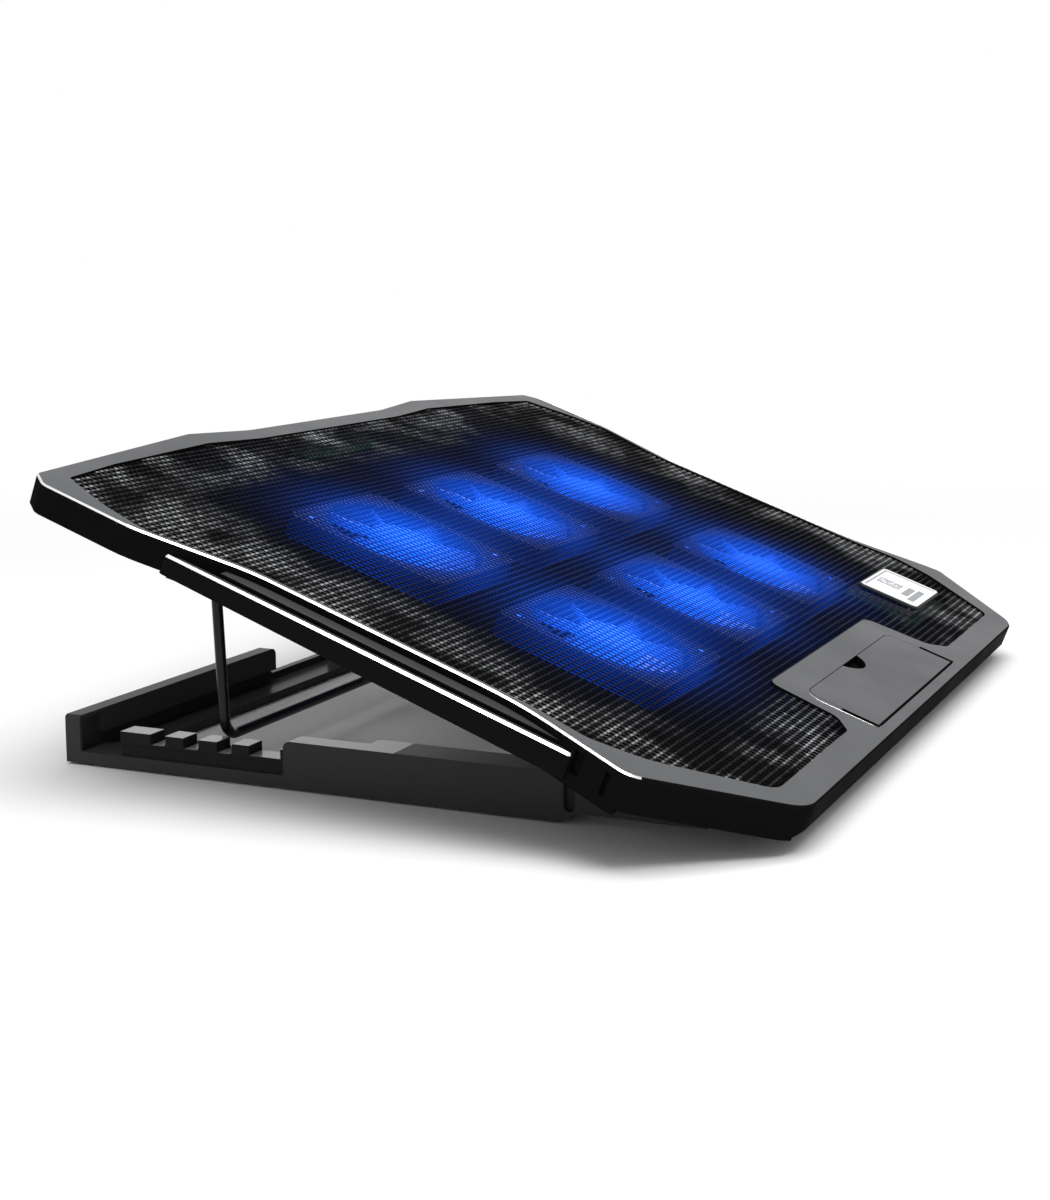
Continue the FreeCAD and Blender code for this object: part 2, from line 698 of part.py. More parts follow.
def base_frame():
    """One moulding: two rails, a front cross member and a low-centred rear wall."""
    inner = BASE_HALF - RAIL_W
    front = box(-inner, inner, TONGUE_Y, TONGUE_Y + CROSS_D, TONGUE_Z, CROSS_TOP)
    link = box(BASE_HALF - RAIL_W, BASE_HALF, RACK_END_Y, WALL_Y0, PAD_T, LINK_TOP)
    under = box(BASE_HALF - RACK_W, BASE_HALF, RAIL_Y1, RACK_END_Y, PAD_T, BAND_Z0)
    wall = plate(mirrored([(BASE_HALF, PAD_T, 0), (BASE_HALF, WALL_TOP, 1.5),
                           (DIP_HALF, WALL_TOP, 3), (DIP_HALF, WALL_DIP, 3)]),
                 0, WALL_Y1 - WALL_Y0)
    wall.rotate(V(0, 0, 0), V(1, 0, 0), 90)
    wall.translate(V(0, WALL_Y1, 0))
    wall = wall.cut(box(-LIP_HALF, LIP_HALF, WALL_Y0 - 1, WALL_Y1 - LIP_T, FLANGE_T, LIP_Z))
    end = box(LIP_HALF - 0.01, BASE_HALF - LIP_END_WALL, WALL_Y0 - 1, WALL_Y1 - LIP_T,
              FLANGE_T, WALL_TOP - LIP_END_WALL)
    wall = wall.cut(both(end))
    flange = box(-BASE_HALF, BASE_HALF, FLANGE_Y, WALL_Y0, PAD_T, FLANGE_T)
    body = front.fuse(both(rail()) + both(link) + both(under) + [wall, flange])
    return body.removeSplitter()


def rack():
    """Toothed rack on the right-hand rail, with a dark groove along its outer face."""
    x0, x1 = BASE_HALF - RACK_W, BASE_HALF
    body = box(x0, x1, RAIL_Y1, RACK_END_Y, BAND_Z0, RACK_TOP)
    body = body.cut(box(x0 - 1, x1 + 1, LEDGE_Y0, LEDGE_Y1, RACK_FLOOR + 0.3, RACK_TOP + 1))
    for k in range(NOTCHES):
        y = RACK_LAST_Y - k * RACK_PITCH
        tooth = side_plate([(y - NOTCH_Y / 2, RACK_FLOOR, 1), (y + NOTCH_Y / 2, RACK_FLOOR, 1),
                            (y + NOTCH_Y / 2, RACK_TOP + 2, 0),
                            (y - NOTCH_Y / 2, RACK_TOP + 2, 0)], x0 - 1, x1 + 1)
        body = body.cut(tooth)
    band = box(x1 - BAND_DEPTH, x1 + 1, LEDGE_Y0, RACK_END_Y + 1, BAND_Z0 - 1, BAND_Z1)
    return body.cut(band).Solids[0]


def pads():
    """Rubber pads under the rails and the rear corners, and thin ones under the tongues."""
    mid = BASE_HALF - RAIL_W / 2
    out = []
    for y, length in ((RAIL_Y0 + 25, RAIL_PAD_L), ((RAIL_Y0 + RAIL_Y1) / 2, RAIL_PAD_L),
                      (WALL_Y0 - 2, REAR_PAD_L)):
        out += both(plate(rect(mid, y, RAIL_W - 4, length, 3), 0, PAD_T))
    front = TONGUE_Y + 2 + FRONT_PAD_L / 2
    out += both(plate(rect(mid, front, RAIL_W - 4, FRONT_PAD_L, 2),
                      TONGUE_Z - FRONT_PAD_T, TONGUE_Z))
    return out


def hinge_pin():
    inner = BASE_HALF - RAIL_W - GAP - 10.7
    return rod_x(inner - 1, BASE_HALF - 3, HINGE_Y, HINGE_Z, PIN_R)


# ================================================================ wire prop
def raised_point(v, w):
    """Where a deck point (v, w) stands when the deck is up, as (y, z)."""
    a = math.radians(TILT)
    dv, dw = v - HINGE_V, w - HINGE_W
    y = HINGE_Y + dv * math.cos(a) - dw * math.sin(a)
    return y, HINGE_Z + dv * math.sin(a) + dw * math.cos(a)


PROP_Y, PROP_Z = raised_point(PROP_V, PROP_W)
PROP_LEN = math.hypot(PROP_Y - FOOT_Y, PROP_Z - FOOT_Z)
PROP_LEAN = math.degrees(math.asin((FOOT_Y - PROP_Y) / PROP_LEN))
FOOT_FOLDED_Y = HINGE_Y + PROP_V - HINGE_V - PROP_LEN


def bend(corner, a, b, r):
    """Quarter bend of radius r at a corner between unit directions a and b."""
    middle = corner + (a + b) * (r * (1 - math.sqrt(0.5)))
    return Part.Arc(corner + a * r, middle, corner + b * r).toShape()


def prop_wire():
    """One bent wire: pin, leg, foot bar, leg, pin.  Drawn hanging, then leaned."""
    x, low = PROP_X, -PROP_LEN
    tip = x - TOP_BEND - PROP_PIN_L
    up, left, right = V(0, 0, 1), V(-1, 0, 0), V(1, 0, 0)
    path = [
        Part.makeLine(V(-tip, 0, 0), V(-x + TOP_BEND, 0, 0)),
        bend(V(-x, 0, 0), right, up * -1, TOP_BEND),
        Part.makeLine(V(-x, 0, -TOP_BEND), V(-x, 0, low + FOOT_BEND)),
        bend(V(-x, 0, low), up, right, FOOT_BEND),
        Part.makeLine(V(-x + FOOT_BEND, 0, low), V(x - FOOT_BEND, 0, low)),
        bend(V(x, 0, low), left, up, FOOT_BEND),
        Part.makeLine(V(x, 0, low + FOOT_BEND), V(x, 0, -TOP_BEND)),
        bend(V(x, 0, 0), up * -1, left, TOP_BEND),
        Part.makeLine(V(x - TOP_BEND, 0, 0), V(tip, 0, 0))]
    ring = Part.Wire(Part.makeCircle(WIRE_R, V(-tip, 0, 0), V(1, 0, 0)))
    body = Part.Wire(path).makePipeShell([ring], True, True)
    body.rotate(V(0, 0, 0), V(1, 0, 0), PROP_LEAN)
    body.translate(V(0, PROP_Y, PROP_Z))
    return body


# ================================================================ write every piece
def main():
    os.makedirs("parts", exist_ok=True)
    save("base_frame", base_frame())
    save("rack_left", flipped(rack()))
    save("rack_right", rack())
    save("base_pads", pads())
    save("hinge_pin_left", flipped(hinge_pin()))
    save("hinge_pin_right", hinge_pin())
    save("bezel", raised(bezel()))
    save("lower_housing", raised(lower_housing()))
    save("side_bar_left", raised(flipped(side_bar())))
    save("side_bar_right", raised(side_bar()))
    save("mesh_panel", raised(mesh_panel()))
    save("display_frame", raised(display_frame()))
    save("display_glass", raised(display_glass()))
    save("display_cell", raised(display_cell()))
    save("control_board", raised(control_board()))
    save("rear_board", raised(rear_board()))
    save("usb_socket_left", raised(usb_socket(-USB_X)))
    save("usb_socket_right", raised(usb_socket(USB_X)))
    save("case_screws", driven(screw_spots()))
    save("fan_screws", driven(corner_spots(1)))
    save("fan_leds", leds())
    for i, (x, v) in enumerate(fan_spots()):
        save("fan_frame_%d" % (i + 1), raised(fan_frame(x, v)))
        save("rotor_%d" % (i + 1), raised(rotor(x, v)))
    save("speed_dial", raised(dial()))
    save("flap", raised(flap()))
    save("prop_wire", prop_wire())
    print("prop pivot", round(PROP_Y, 3), round(PROP_Z, 3), "length", round(PROP_LEN, 3),
          "lean", round(PROP_LEAN, 3))


main()
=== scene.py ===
# %% [markdown]
# # A laptop cooling pad with six lit fans
# The pad is a tilted deck of moulded plastic and steel mesh on a low folding base.
# The CAD frame already holds every solid part in its true place.  This lesson adds what
# solids alone can't show: the open grid of the mesh, the glow of the fans, the highlights
# painted on the edges, the display's gasket and digits, and a finish for each material.

# %% Load the frame
import json
import math
import bmesh
import bpy
import numpy as np
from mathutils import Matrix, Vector


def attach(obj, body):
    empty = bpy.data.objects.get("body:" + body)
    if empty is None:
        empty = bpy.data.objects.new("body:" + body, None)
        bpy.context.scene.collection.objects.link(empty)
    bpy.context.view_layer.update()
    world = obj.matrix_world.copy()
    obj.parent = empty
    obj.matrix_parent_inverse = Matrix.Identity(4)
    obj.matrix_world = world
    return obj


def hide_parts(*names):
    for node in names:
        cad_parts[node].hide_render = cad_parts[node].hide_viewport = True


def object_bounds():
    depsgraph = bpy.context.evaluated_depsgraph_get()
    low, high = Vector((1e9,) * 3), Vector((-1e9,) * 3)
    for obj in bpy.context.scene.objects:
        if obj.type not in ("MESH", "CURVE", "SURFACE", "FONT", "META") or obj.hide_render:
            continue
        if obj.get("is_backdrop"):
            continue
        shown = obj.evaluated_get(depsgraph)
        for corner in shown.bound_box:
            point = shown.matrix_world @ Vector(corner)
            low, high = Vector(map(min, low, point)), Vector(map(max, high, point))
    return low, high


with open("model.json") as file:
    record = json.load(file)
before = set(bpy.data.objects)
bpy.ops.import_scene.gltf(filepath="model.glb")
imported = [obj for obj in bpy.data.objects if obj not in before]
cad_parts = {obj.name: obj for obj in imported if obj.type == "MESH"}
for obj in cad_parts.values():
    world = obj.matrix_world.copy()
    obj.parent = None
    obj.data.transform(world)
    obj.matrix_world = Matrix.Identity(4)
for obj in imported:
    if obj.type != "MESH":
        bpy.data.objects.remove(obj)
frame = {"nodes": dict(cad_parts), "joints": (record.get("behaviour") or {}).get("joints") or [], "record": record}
cad_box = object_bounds()
joints = {j["name"]: j for j in frame["joints"]}
mounts = {m["name"]: m for m in frame["record"]["mounts"]}
print("nodes", len(frame["nodes"]), "box", [round(c, 4) for c in cad_box[1] - cad_box[0]])

# %% [markdown]
# ## A frame of reference on the tilted deck
# Almost every piece lies in the deck, which leans back by about 20 degrees.  It could be
# modelled flat and turned afterwards, but then its objects would carry a rotation.  It is
# simpler to keep two unit vectors: `back` runs up the slope and `out` stands on it.
# A point of the deck is then x, v along `back`, and w along `out`, with w = 0 on the top
# and v = 0 at the front edge.

# %% Deck coordinates
MM = 0.001
REST_V = 3.5
out = np.array(joints["fan_spin_1"]["axis"], float)
out /= np.linalg.norm(out)
back = np.array([0.0, out[2], -out[1]])
rest_point = np.array(mounts["laptop_rest"]["pos_m"], float)
top_origin = rest_point - np.array([rest_point[0], 0, 0]) - back * REST_V * MM


def on_deck(x, v, w):
    """Millimetres on the deck to metres in the frame: p = origin + x ex + v back + w out."""
    x, v, w = np.broadcast_arrays(np.asarray(x, float), v, w)
    ex = np.array([1.0, 0.0, 0.0])
    return top_origin + MM * (x[..., None] * ex + v[..., None] * back + w[..., None] * out)


def to_deck(points):
    """The other way: metres in the frame to (x, v, w) in millimetres."""
    d = (np.asarray(points, float) - top_origin) / MM
    return np.stack([d[..., 0], d @ back, d @ out], axis=-1)


fan_centres = np.array([joints["fan_spin_%d" % (i + 1)]["pos_m"] for i in range(6)], float)
print("fans at", np.round(to_deck(fan_centres)[:, :2], 1).tolist())

# %% [markdown]
# ## The camera
# The view is low and from the left, so the deck is seen almost edge on.  A moderately long
# lens on a 36 mm sensor keeps the far corner from shrinking too much.  A small shift
# centres the pad without turning the camera.

# %% Camera
camera_data = bpy.data.cameras.new("camera")
camera_data.sensor_width = 36.0
camera_data.lens = 59.85
camera_data.shift_x = 0.0043
camera_data.shift_y = -0.0015
camera_data.clip_start, camera_data.clip_end = 0.01, 20.0
camera = bpy.data.objects.new("camera", camera_data)
bpy.context.scene.collection.objects.link(camera)
camera.location = (-0.7650, -0.3058, 0.1889)
aim = Vector((0.9006, 0.3994, -0.1713))
camera.rotation_euler = aim.to_track_quat("-Z", "Y").to_euler()
bpy.context.scene.camera = camera
bpy.context.scene.view_settings.view_transform = "Standard"
print("camera looks down by", round(-math.degrees(math.asin(aim.normalized().z)), 1), "degrees")

# %% [markdown]
# ## Colour and node helpers
# Colours are picked on a screen, so they are written as sRGB hex values, while the renderer
# works in linear light.  One function does that step, and one adds any shader node.


# %% Colour and node helpers
def linear(hex_colour):
    """sRGB hex to linear: c / 12.92 near black, else ((c + 0.055) / 1.055) ** 2.4."""
    c = np.array([int(hex_colour[i:i + 2], 16) for i in (1, 3, 5)]) / 255.0
    c = np.where(c <= 0.04045, c / 12.92, ((c + 0.055) / 1.055) ** 2.4)
    return (*c.tolist(), 1.0)


def add_node(tree, kind, links=None, **settings):
    """Adds a shader node.

    A setting is a property of the node, or the value of a socket, by its name with _ for
    a space or by its number after a _.  `links` joins sockets, by name or number.
    """
    node = tree.nodes.new(kind)
    sockets = {}
    for name, value in settings.items():
        if hasattr(node, name):
            setattr(node, name, value)
        else:
            sockets[name] = value
    for name, value in sockets.items():
        key = int(name[1:]) if name[0] == "_" else name.replace("_", " ")
        node.inputs[key].default_value = value
    for name, source in (links or {}).items():
        tree.links.new(source, node.inputs[name])
    return node


def new_material(name, **shader):
    """A material with a Principled shader, whose plain values are set on its own sockets."""
    material = bpy.data.materials.new(name)
    material.use_nodes = True
    tree = material.node_tree
    tree.nodes.clear()
    bsdf = add_node(tree, "ShaderNodeBsdfPrincipled", **shader)
    add_node(tree, "ShaderNodeOutputMaterial", {"Surface": bsdf.outputs[0]})
    return material, tree, bsdf


print("middle grey in linear light", round(linear("#808080")[0], 3))

# %% [markdown]
# ## Moulded plastic
# Most of the pad is injection-moulded ABS.  Its mould was spark-eroded, which leaves a fine
# grain that breaks up reflections, and flow lines make the gloss drift slowly over a few
# centimetres.  Real grain is finer than 0.1 mm and wouldn't show, so it is drawn at 0.3 mm.
# Fine noise drives a bump, coarse noise the roughness, and a Bevel node rounds the sharp
# CAD edges by 0.4 mm in the shading.
#
# The upward faces of the deck's frame are sprayed a satin grey, and the sides stay black.
# The tops of the base's rails and racks are glossy and get a paler colour, a painted
# reflection of the white sky.  The faces could be split off as pieces of their own, but a
# mask on the surface's own normal and place finds them without touching the CAD mesh.


# %% A mask for painted faces
LEAN_COSINE = 0.95      # cosine of the most that a painted face may lean


def facing(tree, axis, above=None, below=None, origin=top_origin, behind=None):
    """1 where the object normal leans less than 18 degrees from axis, and 0 elsewhere.

    `above` and `below` limit the distance from `origin` along the axis, and `behind` is
    the least y, all in millimetres.
    """
    coords = add_node(tree, "ShaderNodeTexCoord")
    lean = add_node(tree, "ShaderNodeVectorMath", {0: coords.outputs["Normal"]},
                    operation="DOT_PRODUCT")
    lean.inputs[1].default_value = tuple(axis)
    mask = add_node(tree, "ShaderNodeMath", {0: lean.outputs["Value"]},
                    operation="GREATER_THAN", _1=LEAN_COSINE)
    start = float(np.dot(origin, axis))
    limits = []
    if above is not None:
        limits.append((axis, "GREATER_THAN", start + above * MM))
    if below is not None:
        limits.append((axis, "LESS_THAN", start + below * MM))
    if behind is not None:
        limits.append(((0, 1, 0), "GREATER_THAN", behind * MM))
    for direction, side, limit in limits:
        reach = add_node(tree, "ShaderNodeVectorMath", {0: coords.outputs["Object"]},
                         operation="DOT_PRODUCT")
        reach.inputs[1].default_value = tuple(direction)
        past = add_node(tree, "ShaderNodeMath", {0: reach.outputs["Value"]},
                        operation=side, _1=limit)
        mask = add_node(tree, "ShaderNodeMath", {0: mask.outputs[0], 1: past.outputs[0]},
                        operation="MULTIPLY")
    return mask.outputs[0]


print("painted faces lean less than", round(math.degrees(math.acos(LEAN_COSINE))), "degrees")


# %% Moulded finish
FLOW = 0.035            # metres over which the gloss drifts
PAINTED_LEVEL = 0.5     # the shader's own reflection level


def moulded(name, colour, roughness, grain=0.3, depth=0.02, edge=0.4, ior=1.5,
            painted=None, matt=PAINTED_LEVEL, **where):
    """A moulded or coated surface: grain, depth and edge rounding in millimetres.

    `painted` is the colour of the faces that `facing` picks out with `where`, and `matt`
    the reflection level of the others.  The roughness drifts from 0.85 to 1.2 times its
    value, and the colour darkens by up to 16 percent, with the slow noise.
    """
    material, tree, bsdf = new_material(name, IOR=ior)
    coords = add_node(tree, "ShaderNodeTexCoord").outputs["Object"]
    fine = add_node(tree, "ShaderNodeTexNoise", {"Vector": coords}, Scale=1 / (grain * MM),
                    Detail=2.0)
    slow = add_node(tree, "ShaderNodeTexNoise", {"Vector": coords}, Scale=1 / FLOW, Detail=2.0)
    gloss = add_node(tree, "ShaderNodeMapRange", {"Value": slow.outputs["Fac"]}, _1=0.3, _2=0.7,
                     _3=roughness * 0.85, _4=roughness * 1.2)
    tint = add_node(tree, "ShaderNodeMix", {"Factor": slow.outputs["Fac"]}, data_type="RGBA",
                    blend_type="MULTIPLY", A=linear(colour), B=(0.84, 0.84, 0.84, 1))
    # The faces that `facing` picks out take a second colour: paint on most parts, a painted reflection on the tops
    # of the base and racks.
    if painted:
        mask = facing(tree, **where)
        level = add_node(tree, "ShaderNodeMapRange", {"Value": mask}, _3=matt, _4=PAINTED_LEVEL)
        tree.links.new(level.outputs[0], bsdf.inputs["Specular IOR Level"])
        layer = add_node(tree, "ShaderNodeMix", {"Factor": mask}, data_type="RGBA",
                         A=linear(colour), B=linear(painted))
        tree.links.new(layer.outputs["Result"], tint.inputs["A"])
    round_edge = add_node(tree, "ShaderNodeBevel", samples=4, Radius=edge * MM)
    bump = add_node(tree, "ShaderNodeBump", {"Height": fine.outputs["Fac"],
                                             "Normal": round_edge.outputs[0]},
                    Strength=0.25, Distance=depth * MM)
    tree.links.new(tint.outputs["Result"], bsdf.inputs["Base Color"])
    tree.links.new(gloss.outputs[0], bsdf.inputs["Roughness"])
    tree.links.new(bump.outputs[0], bsdf.inputs["Normal"])
    return material, tree, bsdf


# %% The pad's plastics
# ABS has an IOR of about 1.5.  This pad's black sides hardly reflect at all, even at a low
# angle, so where nothing is painted the IOR is brought down, or the level with `matt`.
NEARLY_DULL = 0.002     # reflection level of the deck's bare sides
DULL = 0.02             # reflection level of the base's bare sides
UP = (0, 0, 1)

# Deck frame and flap: sprayed tops in an even satin grey, dead black sides.
bezel_abs, _, _ = moulded("black_abs_with_grey_painted_top", "#131313", 0.34, ior=1.16,
                          painted="#545557", matt=NEARLY_DULL, axis=out, above=-0.3)
flap_abs, _, _ = moulded("black_abs_flap_with_grey_painted_top", "#121212", 0.32, ior=1.16,
                         painted="#505153", matt=NEARLY_DULL, axis=out, above=-0.3)
# Tray and dial: bare spark-eroded ABS, black from every side.
shell_abs, _, _ = moulded("black_textured_abs", "#121212", 0.35, ior=1.01)
# Side bars: gloss black, with a dark grey ledge beside the deck.
bar_abs, _, _ = moulded("black_abs_with_grey_ledge", "#090909", 0.24, ior=1.17,
                        painted="#464647", matt=0.3, axis=out, above=-5.0)
# Base: charcoal sides; behind the deck's shade, the rails' gloss tops get a pale painted reflection.
base_abs_with_painted_reflection, _, _ = moulded("black_abs_with_painted_reflection_on_tops", "#404041", 0.2,
                         painted="#CDCED0", matt=DULL, axis=UP, origin=(0, 0, 0),
                         above=12.0, below=18.2, behind=6.0)
# Racks: black acetal teeth whose pale tops are a painted reflection, a row of light squares.
rack_acetal_with_painted_reflection, _, _ = moulded("black_acetal_with_painted_reflection_on_tops", "#28282A", 0.2,
                         painted="#D2D3D5", matt=DULL, axis=UP)
print("plastics", sorted(m.name for m in bpy.data.materials))

# %% [markdown]
# ## Blue lamplight
# Two blue lamps sit in each fan frame, and the smoky blades and the mesh over them scatter
# the light, so each fan is a soft disc of blue, brightest over its hub.  Real lamps under
# a mesh need very many samples.  Instead the parts near a fan give off a little blue
# themselves, as exp(-(d / r)^2) of the distance d to each fan's centre.


# %% Blue lamplight
HALO_SPREAD = 1.6       # the halo's radius over the core's
GLOW_RADIUS = 26.0      # the core's, in millimetres


def fan_glow(tree, radius, centres=fan_centres):
    """Sum over the fans of exp(-(d / radius)^2), with the radius in millimetres."""
    coords = add_node(tree, "ShaderNodeTexCoord").outputs["Object"]
    total = None
    for centre in centres:
        d = add_node(tree, "ShaderNodeVectorMath", {0: coords}, operation="DISTANCE")
        d.inputs[1].default_value = tuple(centre)
        scaled = add_node(tree, "ShaderNodeMath", {0: d.outputs["Value"]}, operation="DIVIDE",
                          _1=radius * MM)
        square = add_node(tree, "ShaderNodeMath", {0: scaled.outputs[0]}, operation="POWER",
                          _1=2.0)
        minus = add_node(tree, "ShaderNodeMath", {0: square.outputs[0]}, operation="MULTIPLY",
                         _1=-1.0)
        bell = add_node(tree, "ShaderNodeMath", {0: minus.outputs[0]}, operation="EXPONENT")
        if total is None:
            total = bell
        else:
            total = add_node(tree, "ShaderNodeMath", {0: total.outputs[0], 1: bell.outputs[0]},
                             operation="ADD")
    return total.outputs[0]


def glowing(tree, bsdf, core, halo, radius, colour):
    """Blue emission: `core` times a narrow bell over each fan, plus `halo` times a wide one."""
    inner = add_node(tree, "ShaderNodeMath", {0: fan_glow(tree, radius)},
                     operation="MULTIPLY", _1=core)
    outer = add_node(tree, "ShaderNodeMath", {0: fan_glow(tree, HALO_SPREAD * radius)},
                     operation="MULTIPLY", _1=halo)
    level = add_node(tree, "ShaderNodeMath", {0: inner.outputs[0], 1: outer.outputs[0]},
                     operation="ADD")
    bsdf.inputs["Emission Color"].default_value = linear(colour)
    tree.links.new(level.outputs[0], bsdf.inputs["Emission Strength"])


# Fan frames: black PBT, lit from inside so that the square shows faintly.
fan_pbt, fan_tree, fan_bsdf = moulded("black_fan_pbt", "#0D0E12", 0.3)
glowing(fan_tree, fan_bsdf, core=1.7, halo=0.18, radius=25.0, colour="#165AFF")
# Rotors: smoked polycarbonate, the brightest part of each disc.
rotor_pc, rotor_tree, rotor_bsdf = moulded("smoked_blue_polycarbonate", "#0A1E70", 0.25)
glowing(rotor_tree, rotor_bsdf, core=2.5, halo=0.18, radius=GLOW_RADIUS, colour="#1A60FF")
# Lamps: clear epoxy, evenly lit.
lamp_epoxy, _, _ = new_material("blue_lamp_epoxy", Base_Color=linear("#2060FF"), Roughness=0.1,
                                Emission_Color=linear("#2C6CFF"), Emission_Strength=1.2)
print("halo radius", round(HALO_SPREAD * GLOW_RADIUS, 1), "mm round each fan's centre")

# %% [markdown]
# ## Metals, enamels, glass and boards
# The mesh is steel with black enamel.  The chamfers along the deck's edges and the side bars
# catch the light as a thin white line; a skin of bright metal is the painted highlight.  Fine
# brushing is a stretched noise in the bump.  Real brush lines are a few hundredths of a
# millimetre wide and wouldn't show, so they are drawn at 0.15 mm.  The display is white
# acrylic over a lit panel, so it takes a little light of its own.


# %% Metals
def brushed_metal(name, colour, roughness, grain=0.15, stretch=(0.05, 1.0, 1.0)):
    """Metal with brush lines along X, grain in millimetres across the lines."""
    material, tree, bsdf = new_material(name, Base_Color=linear(colour), Metallic=1.0,
                                        Roughness=roughness)
    coords = add_node(tree, "ShaderNodeTexCoord").outputs["Object"]
    lines = add_node(tree, "ShaderNodeMapping", {"Vector": coords}, Scale=stretch)
    noise = add_node(tree, "ShaderNodeTexNoise", {"Vector": lines.outputs[0]},
                     Scale=1 / (grain * MM))
    bump = add_node(tree, "ShaderNodeBump", {"Height": noise.outputs["Fac"]}, Strength=0.15,
                    Distance=0.01 * MM)
    tree.links.new(bump.outputs[0], bsdf.inputs["Normal"])
    return material


# Edge highlights: a narrow bright metal mirror, white under a white sky, a painted highlight.
edge_highlight_metal = brushed_metal("bright_metal_edge_highlight", "#E6E7E9", 0.16)
# Screws, pins and sockets: a softer, greyer shine.
steel = brushed_metal("zinc_plated_steel", "#B9BBBE", 0.3)
print("metals", edge_highlight_metal.name, steel.name)

# %% Enamels, display and boards
# Mesh: black enamel with hardly any shine, so that the blue light and the glints show.
wire_enamel, wire_tree, wire_bsdf = moulded("black_gloss_enamel", "#030304", 0.35,
                                            grain=0.5, depth=0.01, edge=0.1, ior=1.04)
glowing(wire_tree, wire_bsdf, core=0.85, halo=0.14, radius=GLOW_RADIUS, colour="#1062FF")
# Prop wire: satin enamel, with a thin light line along its round side.
prop_enamel, _, _ = moulded("black_satin_enamel", "#131314", 0.26, grain=0.4, edge=0.1, ior=1.3)
# Display: printed white on top, black sides as painted shade round its edge, and a lit white window.
display_abs_with_shaded_sides, _, _ = moulded("white_printed_abs_with_painted_shade_on_sides", "#0B0B0C", 0.12, matt=0.1,
                            painted="#E9EAEC", axis=out)
display_lens, _, display_bsdf = moulded("white_backlit_acrylic", "#E4E6E8", 0.08)
display_bsdf.inputs["Emission Color"].default_value = linear("#F2F5FA")
display_bsdf.inputs["Emission Strength"].default_value = 0.45
# Digits: matt grey ink.
ink, _, _ = moulded("grey_display_ink", "#A4A6A9", 0.5, ior=1.08)
# Boards: green solder mask, seen only as a dim tint through the mesh.
board, _, _ = moulded("green_glass_epoxy_board", "#0E4A26", 0.3)
# Pads and gasket: dull rubber with a coarse grain.
rubber, _, _ = moulded("black_nitrile_rubber", "#111111", 0.75, grain=0.6)
print("materials", len(bpy.data.materials))

# %% [markdown]
# ## A mesh from numpy arrays
# Each new piece is computed as arrays of points and faces, in the frame's own metres, so
# its object stays at the origin.  One function makes the object, gives it its material and
# joins it to the body that carries it.  Another reads a CAD part back as arrays, so that a
# new piece can follow its edges.


# %% A mesh from numpy arrays
def piece(name, points, faces, material, body, smooth=False):
    """Object from an (n, 3) array of points and an (m, k) array of face indices."""
    mesh = bpy.data.meshes.new(name)
    mesh.from_pydata(np.asarray(points, float).reshape(-1, 3).tolist(), [],
                     np.asarray(faces, int).tolist())
    mesh.polygons.foreach_set("use_smooth", np.full(len(mesh.polygons), smooth))
    mesh.materials.append(material)
    mesh.update()
    obj = bpy.data.objects.new(name, mesh)
    bpy.context.scene.collection.objects.link(obj)
    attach(obj, body)
    return obj


def node_triangles(node):
    """A CAD node's triangles as an (n, 3, 3) array in deck coordinates."""
    mesh = frame["nodes"][node].data
    mesh.calc_loop_triangles()
    corners = np.empty(len(mesh.loop_triangles) * 3, int)
    mesh.loop_triangles.foreach_get("vertices", corners)
    points = np.empty(len(mesh.vertices) * 3)
    mesh.vertices.foreach_get("co", points)
    return to_deck(points.reshape(-1, 3))[corners].reshape(-1, 3, 3)


print("triangles of the mesh sheet", len(node_triangles("mesh_panel")))

# %% [markdown]
# ## The steel mesh
# The real panel is a steel sheet with square holes 3 mm apart, so what shows is a grid of
# thin bars.  A texture would look flat from this low view, and cutting 12 000 holes would
# be slow.  Two families of half-round bars give the same shape cheaply: each bar is a
# profile carried along a straight line, cut to length by the edge of the CAD sheet.


# %% The edge of the sheet
def sheet_edge(node):
    """Segments (n, 2, 2) of the outline: the top triangles' sides that belong to one only."""
    triangles = node_triangles(node)
    top = triangles[..., 2].max()
    flat = triangles[(triangles[..., 2] > top - 0.02).all(axis=1)][..., :2]
    sides = np.concatenate([flat[:, [0, 1]], flat[:, [1, 2]], flat[:, [2, 0]]])
    keys = np.round(sides, 3)
    swap = (keys[:, 0, 0] > keys[:, 1, 0]) | ((keys[:, 0, 0] == keys[:, 1, 0])
                                              & (keys[:, 0, 1] > keys[:, 1, 1]))
    keys[swap] = keys[swap][:, ::-1]
    _, first, count = np.unique(keys.reshape(-1, 4), axis=0, return_index=True,
                                return_counts=True)
    return sides[first[count == 1]], top


def spans(segments, along, level):
    """Pieces of the line at `level` inside the outline: sorted crossings, taken in pairs.

    A side from p to q crosses where t = (level - p) / (q - p) lies between 0 and 1.
    """
    across = 1 - along
    p, q = segments[:, 0], segments[:, 1]
    hit = (p[:, across] - level) * (q[:, across] - level) < 0
    t = (level - p[hit, across]) / (q[hit, across] - p[hit, across])
    crossings = np.sort(p[hit, along] + t * (q[hit, along] - p[hit, along]))
    return crossings[:len(crossings) // 2 * 2].reshape(-1, 2)


edge, sheet_top = sheet_edge("mesh_panel")
print("sheet outline", len(edge), "segments, top at", round(float(sheet_top), 2), "mm")

# %% Bars of the mesh
PITCH = 3.0             # millimetres from bar to bar
BAR_WIDTH = 0.95
BAR_HEIGHT = 0.36
LEVEL_SHIFT = 0.013     # keeps the bars off the outline's corners
FAMILY_DROP = 0.06      # one family lies this much lower, so the tops don't flicker


